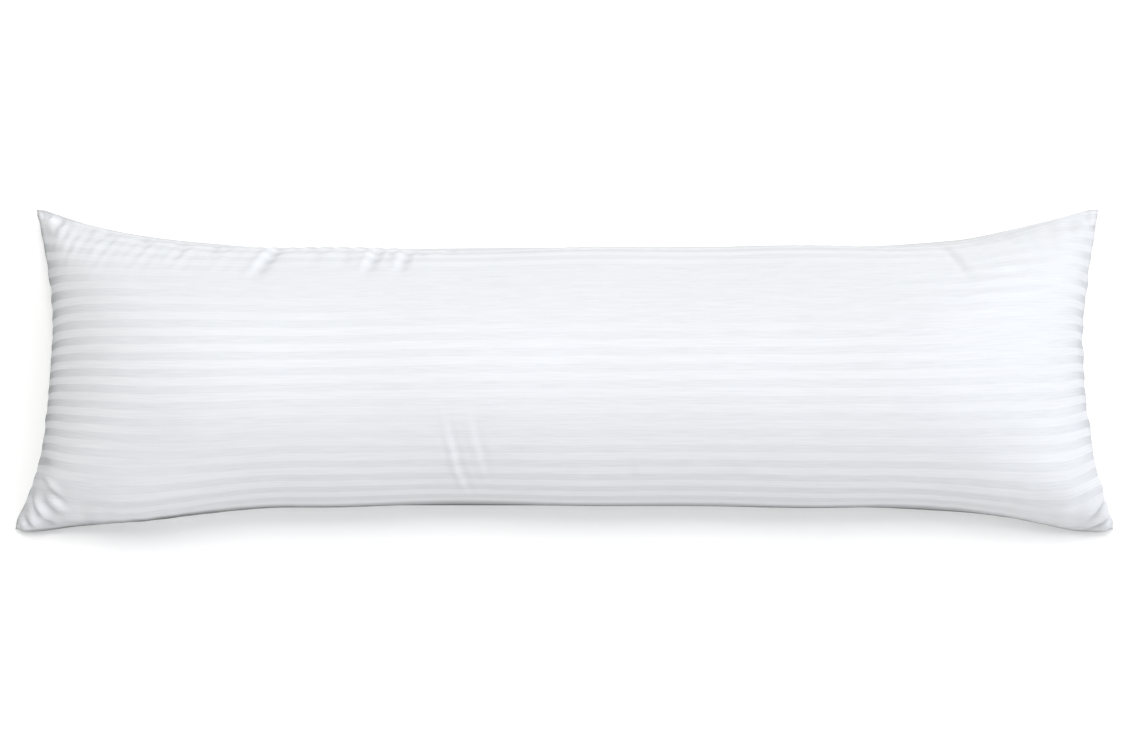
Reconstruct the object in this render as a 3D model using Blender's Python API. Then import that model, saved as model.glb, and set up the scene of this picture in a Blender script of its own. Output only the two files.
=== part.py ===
"""Body pillow: two equal cotton panels, sewn face to face round the edge, turned and filled.

It lies on its back, face up.  X runs along it, Y across it, and Z is up, in metres, with the
origin under its middle.  Filling a flat bag crowns both panels and draws the seam in between
the four corners, so the shape is worked out panel by panel from the size of the cut cloth.
"""

import bpy
import numpy as np

# Size of one panel inside the seam, laid flat, with the gathers taken up.
PANEL_LENGTH = 1.500
PANEL_WIDTH = 0.473

# Height of the crown over the surface it lies on.
THICKNESS = 0.210

# Plan of the four corner tips, and how round a tip is.
TIP_X_FAR_LEFT = -0.761
TIP_X_FAR_RIGHT = 0.766
TIP_X_NEAR_LEFT = -0.776
TIP_X_NEAR_RIGHT = 0.7715
TIP_Y_FAR = 0.236
TIP_Y_NEAR = 0.226
TIP_ROUNDING = 0.007
TIP_ROUNDING_REACH = 0.012

# Height of the seam at the tips, which sag towards the floor, and where it is drawn in most.
TIP_HEIGHT_FAR = 0.030
TIP_HEIGHT_NEAR = 0.010
HEIGHT_FAR = 0.100
HEIGHT_NEAR = 0.052
HEIGHT_LEFT = 0.066
HEIGHT_RIGHT = 0.066

# How far each seam is drawn in from the straight line between its tips.
# Columns: place along the seam from -1 to 1, draw-in in metres.
FAR_SEAM = (
    (-1.00, 0.0000), (-0.93, 0.0195), (-0.87, 0.0350), (-0.77, 0.0530), (-0.66, 0.0650),
    (-0.48, 0.0760), (-0.20, 0.0745), (0.20, 0.0720), (0.52, 0.0710), (0.71, 0.0600),
    (0.81, 0.0420), (0.89, 0.0250), (0.94, 0.0145), (1.00, 0.0000),
)
NEAR_SEAM = (
    (-1.00, 0.0000), (-0.95, 0.0018), (-0.88, 0.0079), (-0.76, 0.0150), (-0.66, 0.0227),
    (-0.48, 0.0334), (-0.20, 0.0340), (0.20, 0.0331), (0.52, 0.0317), (0.70, 0.0262),
    (0.80, 0.0190), (0.87, 0.0097), (0.93, 0.0022), (1.00, 0.0000),
)
LEFT_SEAM = (
    (-1.00, 0.0000), (-0.93, 0.0083), (-0.86, 0.0187), (-0.76, 0.0310), (-0.60, 0.0437),
    (-0.40, 0.0496), (-0.20, 0.0519), (0.10, 0.0519), (0.30, 0.0474), (0.50, 0.0382),
    (0.70, 0.0254), (0.87, 0.0135), (1.00, 0.0000),
)
RIGHT_SEAM = (
    (-1.00, 0.0000), (-0.94, 0.0053), (-0.86, 0.0157), (-0.76, 0.0270), (-0.60, 0.0370),
    (-0.40, 0.0420), (-0.20, 0.0478), (0.10, 0.0472), (0.25, 0.0441), (0.43, 0.0353),
    (0.63, 0.0259), (0.80, 0.0156), (0.89, 0.0109), (1.00, 0.0000),
)

# Slope of the upper panel where it meets each seam, in degrees, and how it fades to the crown.
SLOPE_ACROSS = 84.0
SLOPE_ACROSS_SKEW = 5.0
SLOPE_ACROSS_EVEN = 0.60
SLOPE_ALONG = 74.0
SLOPE_ALONG_POWER = 5.0

# The part of the underside that rests flat, as a fraction of the panel each way.
REST_ALONG = 0.78
REST_ACROSS = 0.34
UNDERSIDE_POWER_ALONG = 2.2
UNDERSIDE_POWER_ACROSS = 2.0

# Creases pressed into the upper panel, as soft ridges and troughs.  A place is in metres
# along and across the flat panel from its middle.  Columns: start along, start across, end
# along, end across, sideways bow, half width, height (below zero a trough), and where along
# the crease it is highest.
TOP_CREASES = (
    # slanting folds under the far seam, left of the middle
    (-0.628, 0.235, -0.641, 0.186, 0.001, 0.006, -0.0022, 0.40),
    (-0.575, 0.235, -0.577, 0.180, 0.001, 0.006, -0.0028, 0.40),
    (-0.521, 0.234, -0.520, 0.160, 0.001, 0.006, -0.0022, 0.40),
    (-0.472, 0.234, -0.475, 0.165, 0.001, 0.006, -0.0026, 0.40),
    (-0.381, 0.232, -0.414, 0.122, 0.003, 0.008, -0.0046, 0.45),
    (-0.331, 0.220, -0.337, 0.150, 0.001, 0.008, -0.0015, 0.45),
    (-0.291, 0.215, -0.297, 0.148, 0.001, 0.007, -0.0018, 0.45),
    (-0.247, 0.226, -0.264, 0.134, 0.002, 0.007, -0.0038, 0.50),
    (-0.235, 0.220, -0.238, 0.160, 0.001, 0.005, -0.0016, 0.45),
    (-0.211, 0.224, -0.220, 0.136, 0.002, 0.007, -0.0034, 0.50),
    (-0.194, 0.222, -0.198, 0.168, 0.001, 0.006, -0.0016, 0.40),
    (-0.155, 0.226, -0.155, 0.186, 0.001, 0.006, -0.0014, 0.40),
    # one fold at the far right
    (0.508, 0.230, 0.529, 0.112, -0.003, 0.006, -0.0038, 0.50),
    # a pair of thin folds that climb from the near seam, left of the middle
    (-0.157, -0.062, -0.116, -0.205, -0.002, 0.005, -0.0018, 0.60),
    (-0.119, -0.080, -0.095, -0.165, -0.001, 0.005, -0.0015, 0.55),
    (0.080, -0.130, 0.092, -0.170, -0.001, 0.006, -0.0008, 0.50),
    # folds of the far left ear
    (-0.721, 0.238, -0.742, 0.203, 0.001, 0.006, 0.0036, 0.50),
    (-0.711, 0.236, -0.731, 0.198, 0.001, 0.006, -0.0038, 0.50),
    (-0.687, 0.236, -0.701, 0.196, 0.001, 0.005, -0.0022, 0.40),
    # folds of the near left ear, which fan out from the corner
    (-0.728, -0.154, -0.664, -0.172, 0.002, 0.006, -0.0024, 0.35),
    (-0.714, -0.167, -0.662, -0.197, 0.002, 0.0055, 0.0042, 0.40),
    (-0.709, -0.193, -0.662, -0.214, 0.002, 0.006, 0.0044, 0.40),
    (-0.734, -0.190, -0.692, -0.226, 0.002, 0.0055, 0.0040, 0.50),
    (-0.742, -0.207, -0.708, -0.233, 0.001, 0.0055, 0.0036, 0.50),
    (-0.749, -0.222, -0.728, -0.237, 0.001, 0.005, 0.0024, 0.50),
    # folds of the near right ear, which curve round the corner
    (0.620, -0.193, 0.708, -0.236, 0.0107, 0.011, 0.0045, 0.60),
    (0.727, -0.187, 0.660, -0.212, 0.003, 0.005, -0.0026, 0.40),
    (0.738, -0.186, 0.679, -0.227, 0.010, 0.0045, -0.0036, 0.40),
    (0.748, -0.206, 0.702, -0.230, 0.003, 0.0045, -0.0034, 0.45),
    (0.744, -0.222, 0.714, -0.235, 0.001, 0.004, -0.0018, 0.50),
    # folds of the far right ear
    (0.728, 0.238, 0.735, 0.210, -0.001, 0.005, -0.0022, 0.40),
    (0.750, 0.205, 0.726, 0.196, 0.001, 0.005, -0.0020, 0.30),
)

# Creases of the underside, with the same columns.
UNDERSIDE_CREASES = (
    (-0.735, 0.165, -0.630, 0.190, 0.004, 0.012, -0.0045, 0.35),
    (-0.735, -0.165, -0.630, -0.195, -0.004, 0.012, -0.0045, 0.35),
    (0.735, 0.165, 0.630, 0.190, -0.004, 0.012, -0.0045, 0.35),
    (0.735, -0.165, 0.630, -0.195, 0.004, 0.012, -0.0045, 0.35),
    (-0.350, 0.226, -0.370, 0.150, 0.003, 0.012, -0.0040, 0.40),
    (0.120, 0.226, 0.100, 0.155, 0.003, 0.012, -0.0035, 0.40),
    (0.410, -0.226, 0.440, -0.150, 0.003, 0.012, -0.0040, 0.40),
    (-0.180, -0.226, -0.150, -0.155, 0.003, 0.012, -0.0035, 0.40),
)

# Puckers where the cloth is gathered into a seam: two waves that run along the seam.
PUCKER_WAVES = ((0.034, 0.60, 0.4), (0.053, 0.40, 2.1))   # length, share, phase
PUCKER_REACH = 0.020            # distance from the seam where a pucker is highest
PUCKER_HEIGHT_SHORT_SEAM = 0.0024
PUCKER_HEIGHT_LONG_SEAM = 0.0016
PUCKER_TURN_LEFT = 0.0          # phase of the waves at each seam, and on the underside
PUCKER_TURN_RIGHT = 1.9
PUCKER_TURN_FAR = 0.8
PUCKER_TURN_NEAR = 3.1
PUCKER_TURN_UNDERSIDE = 2.6
SEAM_WAVER = 0.0012             # sideways waver of a gathered seam

# Broad unevenness of the fill: rise, wave length along, wave length across, phase.
FILL_SWELLS = (
    (0.0022, 0.57, 0.62, 0.7),
    (0.0016, 0.33, 0.41, 2.9),
)

# The near ears are plump: swells of the fill at a place, with a reach along and across.
EAR_SWELLS = (
    (0.0090, -0.640, -0.190, 0.075, 0.036),
    (0.0070, 0.655, -0.192, 0.060, 0.034),
)

# Relief fades out where the pillow is thinner than this, and next to the flat rest.
FULL_RELIEF_THICKNESS = 0.024
FULL_RELIEF_RISE = 0.25

# Mesh: quads along and across one panel, closer together near the seams.
QUADS_ALONG = 84
QUADS_ACROSS = 34
EDGE_CROWDING_ALONG = 0.30
EDGE_CROWDING_ACROSS = 0.15

# White cotton sateen.
COTTON_COLOUR = (0.86, 0.87, 0.90, 1.0)
COTTON_ROUGHNESS = 0.62

PROFILE_STEPS = 400
SMALLEST = 1e-9


def smooth_curve(table, place):
    """Read a two-column table at any place with a cubic that keeps its humps from overshooting."""
    stops, values = np.array(table, dtype=float).T
    steps = np.diff(stops)
    slopes = np.diff(values) / steps
    level = slopes[:-1] * slopes[1:] <= 0.0
    harmonic = 2.0 * slopes[:-1] * slopes[1:] / np.where(level, 1.0, slopes[:-1] + slopes[1:])
    inner = np.where(level, 0.0, harmonic)
    tangents = np.concatenate(([slopes[0]], inner, [slopes[-1]]))
    span = np.clip(np.searchsorted(stops, place, side="right") - 1, 0, len(steps) - 1)
    t = (place - stops[span]) / steps[span]
    start = values[span] * (1.0 + 2.0 * t) * (1.0 - t) ** 2
    end = values[span + 1] * (3.0 - 2.0 * t) * t ** 2
    leave = tangents[span] * steps[span] * t * (1.0 - t) ** 2
    arrive = tangents[span + 1] * steps[span] * (t - 1.0) * t ** 2
    return start + end + leave + arrive


def bent_profile(slope_of):
    """Walk along a bent strip of cloth from seam to seam.

    slope_of gives the slope angle at each fraction from -1 to 1.  Returned are the fractions,
    the distance covered in plan scaled to run from -1 to 1, and the height scaled to 0 at the
    lower part of each end and 1 at the crown, each side by its own rise.
    """
    fraction = np.linspace(-1.0, 1.0, 2 * PROFILE_STEPS + 1)
    angle = slope_of(fraction)
    middle = 0.5 * (angle[1:] + angle[:-1])
    run = np.concatenate(([0.0], np.cumsum(np.cos(middle))))
    rise = np.concatenate(([0.0], np.cumsum(np.sin(middle))))
    crown = rise.max()
    side_start = np.where(fraction < fraction[rise.argmax()], rise[0], rise[-1])
    height = (rise - side_start) / (crown - side_start)
    return fraction, 2.0 * run / run[-1] - 1.0, height


def slope_across(v):
    """Slope of the cloth across the pillow: steeper at the near seam than at the far one."""
    steep = np.radians(SLOPE_ACROSS)
    skew = np.radians(SLOPE_ACROSS_SKEW)
    return skew * v ** 2 - steep * (SLOPE_ACROSS_EVEN * v + (1.0 - SLOPE_ACROSS_EVEN) * v ** 3)


def slope_along(u):
    """Slope of the cloth along the pillow: nearly level, then dropping to the short seams."""
    return -np.radians(SLOPE_ALONG) * np.sign(u) * np.abs(u) ** SLOPE_ALONG_POWER


def share_height(one, other):
    """Join two height profiles so that a corner swells like a stuffed cone."""
    return one * other / np.maximum(one + other - one * other, SMALLEST)


def seam_place(table, place, tip_height, middle_height):
    """Draw-in and height of a seam at places from -1 to 1 along it."""
    drawn_in = smooth_curve(table, place)
    most = max(row[1] for row in table)
    return drawn_in, tip_height + (middle_height - tip_height) * drawn_in / most


def gather_waves(along_seam, turn):
    """The uneven wave of a gathered seam, between about -1 and 1."""
    return sum(
        share * np.sin(2.0 * np.pi * along_seam / length + phase + turn)
        for length, share, phase in PUCKER_WAVES
    )


def seam_plan(u, v):
    """Plan and seam height under each point, blended from the four seams.

    The plan is a Coons patch: the blend of the two long seams, plus the blend of the two
    short seams, less the blend of the four tips.  The height is the mean of the four seams,
    each weighted by the inverse square of its distance.
    """
    to_right = 0.5 * (1.0 + u)
    to_far = 0.5 * (1.0 + v)
    tip_height = TIP_HEIGHT_NEAR * (1.0 - to_far) + TIP_HEIGHT_FAR * to_far
    far_in, far_height = seam_place(FAR_SEAM, u, TIP_HEIGHT_FAR, HEIGHT_FAR)
    near_in, near_height = seam_place(NEAR_SEAM, u, TIP_HEIGHT_NEAR, HEIGHT_NEAR)
    left_in, left_height = seam_place(LEFT_SEAM, v, tip_height, HEIGHT_LEFT)
    right_in, right_height = seam_place(RIGHT_SEAM, v, tip_height, HEIGHT_RIGHT)
    waver = SEAM_WAVER * (1.0 - v ** 4)
    left_in = left_in + waver * gather_waves(v * PANEL_WIDTH / 2.0, PUCKER_TURN_LEFT)
    right_in = right_in + waver * gather_waves(v * PANEL_WIDTH / 2.0, PUCKER_TURN_RIGHT)

    tips_left = TIP_X_NEAR_LEFT * (1.0 - to_far) + TIP_X_FAR_LEFT * to_far
    tips_right = TIP_X_NEAR_RIGHT * (1.0 - to_far) + TIP_X_FAR_RIGHT * to_far
    x = (tips_left + left_in) * (1.0 - to_right) + (tips_right - right_in) * to_right
    y = (near_in - TIP_Y_NEAR) * (1.0 - to_far) + (TIP_Y_FAR - far_in) * to_far

    pull_far = 1.0 / np.maximum(1.0 - v, SMALLEST) ** 2
    pull_near = 1.0 / np.maximum(1.0 + v, SMALLEST) ** 2
    pull_left = 1.0 / np.maximum(1.0 + u, SMALLEST) ** 2
    pull_right = 1.0 / np.maximum(1.0 - u, SMALLEST) ** 2
    total = pull_far + pull_near + pull_left + pull_right
    pulled = (far_height * pull_far + near_height * pull_near
              + left_height * pull_left + right_height * pull_right)
    return x, y, pulled / total


def round_tips(x, y, u, v):
    """Pull the points close to each corner towards the middle, so the tip is round."""
    along = (1.0 - np.abs(u)) * PANEL_LENGTH / 2.0
    across = (1.0 - np.abs(v)) * PANEL_WIDTH / 2.0
    pull = TIP_ROUNDING * np.exp(-(along ** 2 + across ** 2) / TIP_ROUNDING_REACH ** 2)
    return x - np.sign(u) * pull * np.sqrt(0.5), y - np.sign(v) * pull * np.sqrt(0.5)


def creases(a, b, table):
    """Sum of soft creases at distances a along and b across the flat panel."""
    relief = np.zeros_like(a)
    for start_a, start_b, end_a, end_b, bow, half_width, height, peak in table:
        reach = np.hypot(end_a - start_a, end_b - start_b)
        along_a = (end_a - start_a) / reach
        along_b = (end_b - start_b) / reach
        along = ((a - start_a) * along_a + (b - start_b) * along_b) / reach
        held = np.clip(along, 0.0, 1.0)
        aside = (b - start_b) * along_a - (a - start_a) * along_b
        aside = aside - 4.0 * bow * held * (1.0 - held)
        taper = np.sin(np.pi * held ** (np.log(0.5) / np.log(peak))) ** 1.5
        relief += height * taper * np.exp(-(aside / half_width) ** 2)
    return relief


def puckers(along_seam, from_seam, height, turn):
    """Gathers that stand square to a seam, nothing at the stitches and gone a few cm in."""
    near = from_seam / PUCKER_REACH
    fade = near * np.exp(1.0 - near)
    return height * fade * gather_waves(along_seam, turn)


def panel_relief(a, b, table, turn):
    """All the small relief of one panel: creases, puckers and the unevenness of the fill."""
    from_left = PANEL_LENGTH / 2.0 + a
    from_right = PANEL_LENGTH / 2.0 - a
    from_far = PANEL_WIDTH / 2.0 - b
    from_near = PANEL_WIDTH / 2.0 + b
    relief = creases(a, b, table)
    relief += puckers(b, from_left, PUCKER_HEIGHT_SHORT_SEAM, turn + PUCKER_TURN_LEFT)
    relief += puckers(b, from_right, PUCKER_HEIGHT_SHORT_SEAM, turn + PUCKER_TURN_RIGHT)
    ends = (a / (PANEL_LENGTH / 2.0)) ** 4
    relief += ends * puckers(a, from_far, PUCKER_HEIGHT_LONG_SEAM, turn + PUCKER_TURN_FAR)
    relief += ends * puckers(a, from_near, PUCKER_HEIGHT_LONG_SEAM, turn + PUCKER_TURN_NEAR)
    for rise, wave_along, wave_across, phase in FILL_SWELLS:
        wave = np.cos(2.0 * np.pi * a / wave_along + phase) * np.cos(2.0 * np.pi * b / wave_across)
        relief += rise * wave
    for rise, at_a, at_b, reach_a, reach_b in EAR_SWELLS:
        relief += rise * np.exp(-((a - at_a) / reach_a) ** 2 - ((b - at_b) / reach_b) ** 2)
    return relief


def surface_normals(points):
    """Unit normals of a grid of points, from the slopes along its two directions."""
    along = np.gradient(points, axis=0)
    across = np.gradient(points, axis=1)
    normals = np.cross(along, across)
    return normals / np.maximum(np.linalg.norm(normals, axis=2, keepdims=True), SMALLEST)


def pillow_panels(u, v):
    """Points of the upper and the lower panel for grids u and v from -1 to 1."""
    stops_v, run_v, height_v = bent_profile(slope_across)
    stops_u, run_u, height_u = bent_profile(slope_along)
    crown = share_height(np.interp(u, stops_u, height_u), np.interp(v, stops_v, height_v))
    fullness_u = np.interp(u, stops_u, height_u) ** 2
    fullness_v = np.interp(v, stops_v, height_v)
    plan_u = u + (np.interp(u, stops_u, run_u) - u) * fullness_v
    plan_v = v + (np.interp(v, stops_v, run_v) - v) * fullness_u
    x, y, seam_height = seam_plan(plan_u, plan_v)
    x, y = round_tips(x, y, u, v)

    inside_u = np.clip((1.0 - np.abs(u)) / (1.0 - REST_ALONG), 0.0, 1.0)
    inside_v = np.clip((1.0 - np.abs(v)) / (1.0 - REST_ACROSS), 0.0, 1.0)
    sink_u = 1.0 - (1.0 - inside_u) ** UNDERSIDE_POWER_ALONG
    sink_v = 1.0 - (1.0 - inside_v) ** UNDERSIDE_POWER_ACROSS
    sink = share_height(sink_u, sink_v)

    upper = np.stack((x, y, seam_height + (THICKNESS - seam_height) * crown), axis=2)
    lower = np.stack((x, y, seam_height * (1.0 - sink)), axis=2)
    return upper, lower, sink


def relieved_panels(u, v):
    """The two panels with their creases, puckers and unevenness; the seam is left alone."""
    upper, lower, sink = pillow_panels(u, v)
    a = u * PANEL_LENGTH / 2.0
    b = v * PANEL_WIDTH / 2.0
    thickness = upper[:, :, 2] - lower[:, :, 2]
    room = np.clip(thickness / FULL_RELIEF_THICKNESS, 0.0, 1.0)
    top_relief = panel_relief(a, b, TOP_CREASES, 0.0) * room
    upper = upper + surface_normals(upper) * top_relief[:, :, None]
    risen = np.clip((1.0 - sink) / FULL_RELIEF_RISE, 0.0, 1.0)
    low_relief = panel_relief(a, b, UNDERSIDE_CREASES, PUCKER_TURN_UNDERSIDE) * room * risen
    lower = lower - surface_normals(lower) * low_relief[:, :, None]
    lower[:, :, 2] = np.maximum(lower[:, :, 2], 0.0)
    return upper, lower


def crowded(count, crowding):
    """Fractions from -1 to 1, closer together towards both ends."""
    even = np.linspace(-1.0, 1.0, count + 1)
    return (1.0 - crowding) * even + crowding * np.sin(0.5 * np.pi * even)


def pillow_mesh():
    """One closed mesh: the two panels on the same grid, joined along the seam."""
    v, u = np.meshgrid(crowded(QUADS_ACROSS, EDGE_CROWDING_ACROSS),
                       crowded(QUADS_ALONG, EDGE_CROWDING_ALONG))
    upper, lower = relieved_panels(u, v)

    rows, columns = u.shape
    upper_index = np.arange(rows * columns).reshape(rows, columns)
    lower_index = upper_index.copy()
    inner = (rows - 2) * (columns - 2)
    lower_index[1:-1, 1:-1] = rows * columns + np.arange(inner).reshape(rows - 2, columns - 2)
    points = np.concatenate((upper.reshape(-1, 3), lower[1:-1, 1:-1].reshape(-1, 3)))
    points[:, :2] -= 0.5 * (points[:, :2].max(axis=0) + points[:, :2].min(axis=0))

    def quads(index):
        corners = (index[:-1, :-1], index[1:, :-1], index[1:, 1:], index[:-1, 1:])
        return np.stack(corners, axis=2).reshape(-1, 4)

    faces = np.concatenate((quads(upper_index), quads(lower_index)[:, ::-1]))
    mesh = bpy.data.meshes.new("pillow")
    mesh.from_pydata(points.tolist(), [], faces.tolist())
    mesh.shade_smooth()
    return mesh


def cotton_material():
    """White striped cotton, shown in one colour on the solid."""
    material = bpy.data.materials.new("white_cotton_sateen")
    material.use_nodes = True
    shader = material.node_tree.nodes["Principled BSDF"]
    shader.inputs["Base Color"].default_value = COTTON_COLOUR
    shader.inputs["Roughness"].default_value = COTTON_ROUGHNESS
    shader.inputs["Metallic"].default_value = 0.0
    return material


def main():
    for thing in list(bpy.data.objects):
        bpy.data.objects.remove(thing, do_unlink=True)
    pillow = bpy.data.objects.new("pillow", pillow_mesh())
    pillow.data.materials.append(cotton_material())
    bpy.context.scene.collection.objects.link(pillow)


main()
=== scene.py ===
"""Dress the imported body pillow: its striped cotton cover, the floor, the light and the camera.

Laid out as a Blender add-on and run as a script.  Everything is in metres, in the frame of the
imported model: X runs along the pillow, Y across it, and Z is up.
"""

import math

import bpy
import numpy as np
from bpy.props import FloatProperty, FloatVectorProperty, IntProperty, PointerProperty
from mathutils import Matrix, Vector


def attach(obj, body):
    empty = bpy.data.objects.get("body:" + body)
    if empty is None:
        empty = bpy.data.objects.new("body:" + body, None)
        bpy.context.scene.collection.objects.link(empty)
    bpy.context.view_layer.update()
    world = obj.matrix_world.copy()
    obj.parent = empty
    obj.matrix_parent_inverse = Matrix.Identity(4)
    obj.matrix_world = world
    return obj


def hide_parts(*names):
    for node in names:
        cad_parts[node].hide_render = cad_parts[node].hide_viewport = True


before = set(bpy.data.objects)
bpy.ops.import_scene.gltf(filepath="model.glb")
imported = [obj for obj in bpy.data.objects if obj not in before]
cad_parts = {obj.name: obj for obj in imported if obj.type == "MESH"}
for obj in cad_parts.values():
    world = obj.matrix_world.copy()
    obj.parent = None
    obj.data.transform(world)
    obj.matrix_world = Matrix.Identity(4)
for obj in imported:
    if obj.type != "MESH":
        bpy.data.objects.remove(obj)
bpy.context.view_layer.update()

bl_info = {
    "name": "Body pillow",
    "version": (1, 0, 0),
    "blender": (4, 5, 0),
    "location": "3D View > Sidebar > Pillow",
    "description": "Makes a long filled pillow in striped cotton, with its floor and light",
    "category": "Add Mesh",
}

# ----------------------------------
# The seam, as drawn in by the fill
# ----------------------------------

# Plan of the four corner tips before they are rounded, how far the rounding pulls each one in,
# and how far from the tip it reaches.
TIP_X_FAR_LEFT = -0.761
TIP_X_FAR_RIGHT = 0.766
TIP_X_NEAR_LEFT = -0.776
TIP_X_NEAR_RIGHT = 0.7715
TIP_Y_FAR = 0.240
TIP_Y_NEAR = 0.226
TIP_ROUNDING = 0.007
TIP_ROUNDING_REACH = 0.012

# Height of the seam at the tips, which sag towards the floor, and where it is drawn in most.
TIP_HEIGHT_FAR = 0.030
TIP_HEIGHT_NEAR = 0.010
HEIGHT_FAR = 0.100
HEIGHT_NEAR = 0.052
HEIGHT_LEFT = 0.066
HEIGHT_RIGHT = 0.066

# How far each seam is drawn in from the straight line between its tips.
# Columns: place along the seam from -1 to 1, draw-in in metres.
FAR_SEAM = (
    (-1.00, 0.0000), (-0.93, 0.0225), (-0.87, 0.0388), (-0.77, 0.0570), (-0.66, 0.0690),
    (-0.48, 0.0800), (-0.20, 0.0785), (0.20, 0.0760), (0.52, 0.0750), (0.71, 0.0640),
    (0.81, 0.0460), (0.89, 0.0282), (0.94, 0.0162), (1.00, 0.0000),
)
NEAR_SEAM = (
    (-1.00, 0.0000), (-0.95, 0.0018), (-0.88, 0.0079), (-0.76, 0.0150), (-0.66, 0.0227),
    (-0.48, 0.0334), (-0.20, 0.0340), (0.20, 0.0331), (0.52, 0.0317), (0.70, 0.0262),
    (0.80, 0.0190), (0.87, 0.0097), (0.93, 0.0022), (1.00, 0.0000),
)
LEFT_SEAM = (
    (-1.00, 0.0000), (-0.93, 0.0083), (-0.86, 0.0187), (-0.76, 0.0310), (-0.60, 0.0437),
    (-0.40, 0.0496), (-0.20, 0.0519), (0.10, 0.0519), (0.30, 0.0474), (0.50, 0.0382),
    (0.70, 0.0254), (0.87, 0.0135), (1.00, 0.0000),
)
RIGHT_SEAM = (
    (-1.00, 0.0000), (-0.94, 0.0053), (-0.86, 0.0157), (-0.76, 0.0270), (-0.60, 0.0370),
    (-0.40, 0.0420), (-0.20, 0.0478), (0.10, 0.0472), (0.25, 0.0441), (0.43, 0.0353),
    (0.63, 0.0259), (0.80, 0.0156), (0.89, 0.0109), (1.00, 0.0000),
)

# Slope of the upper panel where it meets each seam, in degrees.  Across, the near seam is
# steeper by the skew and the far seam less steep, and EVEN is the share of the slope that grows
# evenly from the crown, while the rest grows as a cube.  Along, it grows with a high power.
SLOPE_ACROSS = 84.0
SLOPE_ACROSS_SKEW = 5.0
SLOPE_ACROSS_EVEN = 0.60
SLOPE_ALONG = 74.0
SLOPE_ALONG_POWER = 5.0

# The part of the underside that rests flat, as a fraction of the panel each way, and the
# powers by which the rest of it rises to the seams.
REST_ALONG = 0.78
REST_ACROSS = 0.34
UNDERSIDE_POWER_ALONG = 2.2
UNDERSIDE_POWER_ACROSS = 2.0

# ----------------------------------
# Creases and puckers
# ----------------------------------

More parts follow.
